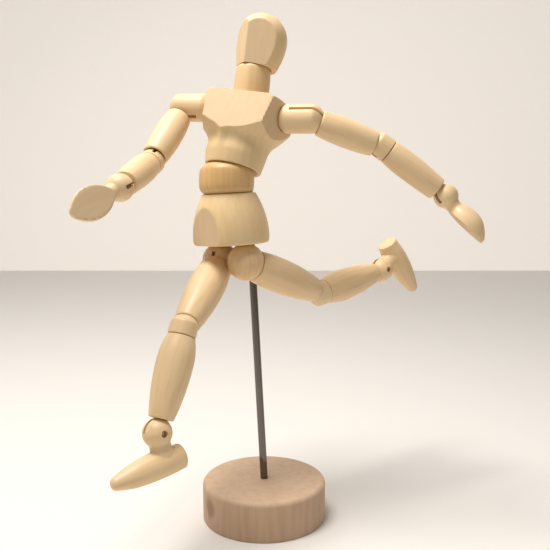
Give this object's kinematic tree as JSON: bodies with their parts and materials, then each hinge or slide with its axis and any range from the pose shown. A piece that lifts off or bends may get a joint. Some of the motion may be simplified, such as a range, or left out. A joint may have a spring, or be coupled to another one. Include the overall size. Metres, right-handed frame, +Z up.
{
  "type": "artist mannequin",
  "caption": "Jointed wooden artist mannequin posed in mid-run on a leaning steel rod in a round turned base, with slotted ball joints held by pins and springs",
  "frame": {"origin": "centre of the flat underside of the base", "axes": "+Z up; the figure runs toward -Y, and its own left side is at +X"},
  "size_m": [0.1648, 0.2409, 0.3008],
  "materials": {
    "base": "turned and sanded pale hardwood, clear satin lacquer",
    "rod": "bright drawn steel",
    "pelvis": "turned and sanded pale hardwood, clear satin lacquer",
    "hip_wire_right": "bright drawn steel",
    "hip_wire_left": "bright drawn steel",
    "spring_pelvis": "bright drawn steel",
    "waist": "turned and sanded pale hardwood, clear satin lacquer",
    "spring_waist": "bright drawn steel",
    "chest": "turned and sanded pale hardwood, clear satin lacquer",
    "spring_shoulders": "bright drawn steel",
    "spring_chest": "bright drawn steel",
    "neck": "turned and sanded pale hardwood, clear satin lacquer",
    "spring_neck": "bright drawn steel",
    "head": "turned and sanded pale hardwood, clear satin lacquer",
    "hip_right": "turned and sanded pale hardwood, clear satin lacquer",
    "pin_hip_right": "bright drawn steel",
    "thigh_right": "turned and sanded pale hardwood, clear satin lacquer",
    "spring_thigh_right": "bright drawn steel",
    "knee_right": "turned and sanded pale hardwood, clear satin lacquer",
    "pin_knee_right": "bright drawn steel",
    "shin_right": "turned and sanded pale hardwood, clear satin lacquer",
    "spring_shin_right": "bright drawn steel",
    "foot_right": "turned and sanded pale hardwood, clear satin lacquer",
    "pin_ankle_right": "bright drawn steel",
    "shoulder_right": "turned and sanded pale hardwood, clear satin lacquer",
    "pin_shoulder_right": "bright drawn steel",
    "upper_arm_right": "turned and sanded pale hardwood, clear satin lacquer",
    "spring_upper_arm_right": "bright drawn steel",
    "elbow_right": "turned and sanded pale hardwood, clear satin lacquer",
    "pin_elbow_right": "bright drawn steel",
    "forearm_right": "turned and sanded pale hardwood, clear satin lacquer",
    "spring_forearm_right": "bright drawn steel",
    "hand_right": "turned and sanded pale hardwood, clear satin lacquer",
    "pin_wrist_right": "bright drawn steel",
    "hip_left": "turned and sanded pale hardwood, clear satin lacquer",
    "pin_hip_left": "bright drawn steel",
    "thigh_left": "turned and sanded pale hardwood, clear satin lacquer",
    "spring_thigh_left": "bright drawn steel",
    "knee_left": "turned and sanded pale hardwood, clear satin lacquer",
    "pin_knee_left": "bright drawn steel",
    "shin_left": "turned and sanded pale hardwood, clear satin lacquer",
    "spring_shin_left": "bright drawn steel",
    "foot_left": "turned and sanded pale hardwood, clear satin lacquer",
    "pin_ankle_left": "bright drawn steel",
    "shoulder_left": "turned and sanded pale hardwood, clear satin lacquer",
    "pin_shoulder_left": "bright drawn steel",
    "upper_arm_left": "turned and sanded pale hardwood, clear satin lacquer",
    "spring_upper_arm_left": "bright drawn steel",
    "elbow_left": "turned and sanded pale hardwood, clear satin lacquer",
    "pin_elbow_left": "bright drawn steel",
    "forearm_left": "turned and sanded pale hardwood, clear satin lacquer",
    "spring_forearm_left": "bright drawn steel",
    "hand_left": "turned and sanded pale hardwood, clear satin lacquer",
    "pin_wrist_left": "bright drawn steel"
  },
  "bodies": {
    "stand": {"base": "base", "rod": "rod"},
    "pelvis": {"pelvis": "pelvis", "spring_pelvis": "spring_pelvis"},
    "waist": {"waist": "waist"},
    "torso_spring": {"spring_waist": "spring_waist"},
    "chest": {"chest": "chest", "spring_chest": "spring_chest", "spring_shoulders": "spring_shoulders"},
    "neck": {"neck": "neck"},
    "neck_spring": {"spring_neck": "spring_neck"},
    "head": {"head": "head"},
    "shoulder_right": {"shoulder_right": "shoulder_right", "pin_shoulder_right": "pin_shoulder_right"},
    "upper_arm_right": {"upper_arm_right": "upper_arm_right", "spring_upper_arm_right": "spring_upper_arm_right"},
    "elbow_right": {"elbow_right": "elbow_right", "pin_elbow_right": "pin_elbow_right"},
    "forearm_right": {"forearm_right": "forearm_right", "spring_forearm_right": "spring_forearm_right"},
    "hand_right": {"hand_right": "hand_right", "pin_wrist_right": "pin_wrist_right"},
    "hip_right": {"hip_right": "hip_right", "pin_hip_right": "pin_hip_right", "hip_wire_right": "hip_wire_right"},
    "thigh_right": {"thigh_right": "thigh_right", "spring_thigh_right": "spring_thigh_right"},
    "knee_right": {"knee_right": "knee_right", "pin_knee_right": "pin_knee_right"},
    "shin_right": {"shin_right": "shin_right", "spring_shin_right": "spring_shin_right"},
    "foot_right": {"foot_right": "foot_right", "pin_ankle_right": "pin_ankle_right"},
    "shoulder_left": {"shoulder_left": "shoulder_left", "pin_shoulder_left": "pin_shoulder_left"},
    "upper_arm_left": {"upper_arm_left": "upper_arm_left", "spring_upper_arm_left": "spring_upper_arm_left"},
    "elbow_left": {"elbow_left": "elbow_left", "pin_elbow_left": "pin_elbow_left"},
    "forearm_left": {"forearm_left": "forearm_left", "spring_forearm_left": "spring_forearm_left"},
    "hand_left": {"hand_left": "hand_left", "pin_wrist_left": "pin_wrist_left"},
    "hip_left": {"hip_left": "hip_left", "pin_hip_left": "pin_hip_left", "hip_wire_left": "hip_wire_left"},
    "thigh_left": {"thigh_left": "thigh_left", "spring_thigh_left": "spring_thigh_left"},
    "knee_left": {"knee_left": "knee_left", "pin_knee_left": "pin_knee_left"},
    "shin_left": {"shin_left": "shin_left", "spring_shin_left": "spring_shin_left"},
    "foot_left": {"foot_left": "foot_left", "pin_ankle_left": "pin_ankle_left"}
  },
  "joints": [
    {"name": "pelvis_turn", "type": "hinge", "parent": "stand", "child": "pelvis", "pos_m": [-0.0061, -0.00366, 0.15921], "axis": [-0.0449, -0.027, 0.9986], "continuous": true},
    {"name": "waist_bend", "type": "hinge", "parent": "pelvis", "child": "waist", "pos_m": [-0.01118, -0.01974, 0.21476], "axis": [0.9838, -0.1748, 0.0395], "range_deg": [-8, 14]},
    {"name": "torso_turn", "type": "hinge", "parent": "waist", "child": "torso_spring", "pos_m": [-0.01118, -0.01974, 0.21476], "axis": [-0.0534, 0.1095, 0.9925], "range_deg": [-30, 30]},
    {"name": "chest_tilt", "type": "hinge", "parent": "torso_spring", "child": "chest", "pos_m": [-0.01015, -0.02186, 0.19557], "axis": [-0.333, 0.9037, -0.2692], "range_deg": [-12, 8]},
    {"name": "neck_tilt", "type": "hinge", "parent": "chest", "child": "neck", "pos_m": [-0.00722, -0.00099, 0.26202], "axis": [0.942, 0.3061, -0.1377], "range_deg": [-8, 14]},
    {"name": "head_turn", "type": "hinge", "parent": "neck", "child": "neck_spring", "pos_m": [-0.00722, -0.00099, 0.26202], "axis": [-0.0237, 0.1928, 0.981], "range_deg": [-60, 60]},
    {"name": "head_nod", "type": "hinge", "parent": "neck_spring", "child": "head", "pos_m": [-0.00715, -0.00153, 0.25928], "axis": [0.9964, -0.0348, -0.0768], "range_deg": [-10, 14]},
    {"name": "shoulder_swing_right", "type": "hinge", "parent": "chest", "child": "shoulder_right", "pos_m": [-0.04419, -0.01854, 0.24785], "axis": [-0.9505, -0.3088, 0.0349], "range_deg": [-45, 30]},
    {"name": "shoulder_lift_right", "type": "hinge", "parent": "shoulder_right", "child": "upper_arm_right", "pos_m": [-0.04419, -0.01854, 0.24785], "axis": [0.2365, -0.6458, 0.726], "range_deg": [-90, 2]},
    {"name": "elbow_bend_right", "type": "hinge", "parent": "upper_arm_right", "child": "elbow_right", "pos_m": [-0.03803, -0.05347, 0.21478], "axis": [-0.7859, -0.4926, 0.3739], "range_deg": [-40, 26]},
    {"name": "forearm_turn_right", "type": "hinge", "parent": "elbow_right", "child": "forearm_right", "pos_m": [-0.03803, -0.05347, 0.21478], "axis": [0.4042, -0.8667, -0.2924], "range_deg": [-90, 90]},
    {"name": "wrist_bend_right", "type": "hinge", "parent": "forearm_right", "child": "hand_right", "pos_m": [-0.01952, -0.09316, 0.20139], "axis": [0.1108, 0.3637, -0.9249], "range_deg": [-60, 40]},
    {"name": "hip_swivel_right", "type": "hinge", "parent": "pelvis", "child": "hip_right", "pos_m": [-0.01978, -0.01625, 0.15826], "axis": [-0.0449, -0.027, 0.9986], "range_deg": [-30, 4]},
    {"name": "hip_swing_right", "type": "hinge", "parent": "hip_right", "child": "thigh_right", "pos_m": [-0.01978, -0.01625, 0.15826], "axis": [0.9588, 0.2796, 0.0506], "range_deg": [-25, 28]},
    {"name": "knee_bend_right", "type": "hinge", "parent": "thigh_right", "child": "knee_right", "pos_m": [-0.00349, -0.06639, 0.12658], "axis": [0.9201, 0.3735, -0.1179], "range_deg": [-38, 18]},
    {"name": "shin_turn_right", "type": "hinge", "parent": "knee_right", "child": "shin_right", "pos_m": [-0.00349, -0.06639, 0.12658], "axis": [0.061, -0.4341, -0.8988], "range_deg": [-45, 45]},
    {"name": "ankle_bend_right", "type": "hinge", "parent": "shin_right", "child": "foot_right", "pos_m": [-0.00018, -0.08992, 0.07787], "axis": [0.9531, -0.242, 0.1816], "range_deg": [-25, 20]},
    {"name": "shoulder_swing_left", "type": "hinge", "parent": "chest", "child": "shoulder_left", "pos_m": [0.02813, 0.00496, 0.2394], "axis": [0.9509, 0.309, -0.0175], "range_deg": [-60, 60]},
    {"name": "shoulder_lift_left", "type": "hinge", "parent": "shoulder_left", "child": "upper_arm_left", "pos_m": [0.02813, 0.00496, 0.2394], "axis": [-0.1931, 0.6364, 0.7468], "range_deg": [-40, 35]},
    {"name": "elbow_bend_left", "type": "hinge", "parent": "upper_arm_left", "child": "elbow_left", "pos_m": [0.06047, 0.03307, 0.22381], "axis": [-0.6927, 0.6995, -0.1755], "range_deg": [-40, 36]},
    {"name": "forearm_turn_left", "type": "hinge", "parent": "elbow_left", "child": "forearm_left", "pos_m": [0.06047, 0.03307, 0.22381], "axis": [0.6378, 0.4806, -0.6018], "range_deg": [-90, 90]},
    {"name": "wrist_bend_left", "type": "hinge", "parent": "forearm_left", "child": "hand_left", "pos_m": [0.08968, 0.05509, 0.19624], "axis": [-0.77, 0.3811, -0.5117], "range_deg": [-60, 40]},
    {"name": "hip_swivel_left", "type": "hinge", "parent": "pelvis", "child": "hip_left", "pos_m": [0.00245, -0.02021, 0.15915], "axis": [-0.0449, -0.027, 0.9986], "range_deg": [-30, 0]},
    {"name": "hip_swing_left", "type": "hinge", "parent": "hip_left", "child": "thigh_left", "pos_m": [0.00245, -0.02021, 0.15915], "axis": [0.9646, -0.2613, 0.0363], "range_deg": [-12, 20]},
    {"name": "knee_bend_left", "type": "hinge", "parent": "thigh_left", "child": "knee_left", "pos_m": [0.01817, 0.03461, 0.13611], "axis": [0.9613, -0.2756, 0], "range_deg": [-38, 18]},
    {"name": "shin_turn_left", "type": "hinge", "parent": "knee_left", "child": "shin_left", "pos_m": [0.01817, 0.03461, 0.13611], "axis": [0.2706, 0.9436, 0.1908], "range_deg": [-45, 45]},
    {"name": "ankle_bend_left", "type": "hinge", "parent": "shin_left", "child": "foot_left", "pos_m": [0.03283, 0.08575, 0.14646], "axis": [0.9453, -0.2979, 0.1327], "range_deg": [-25, 20]}
  ]
}
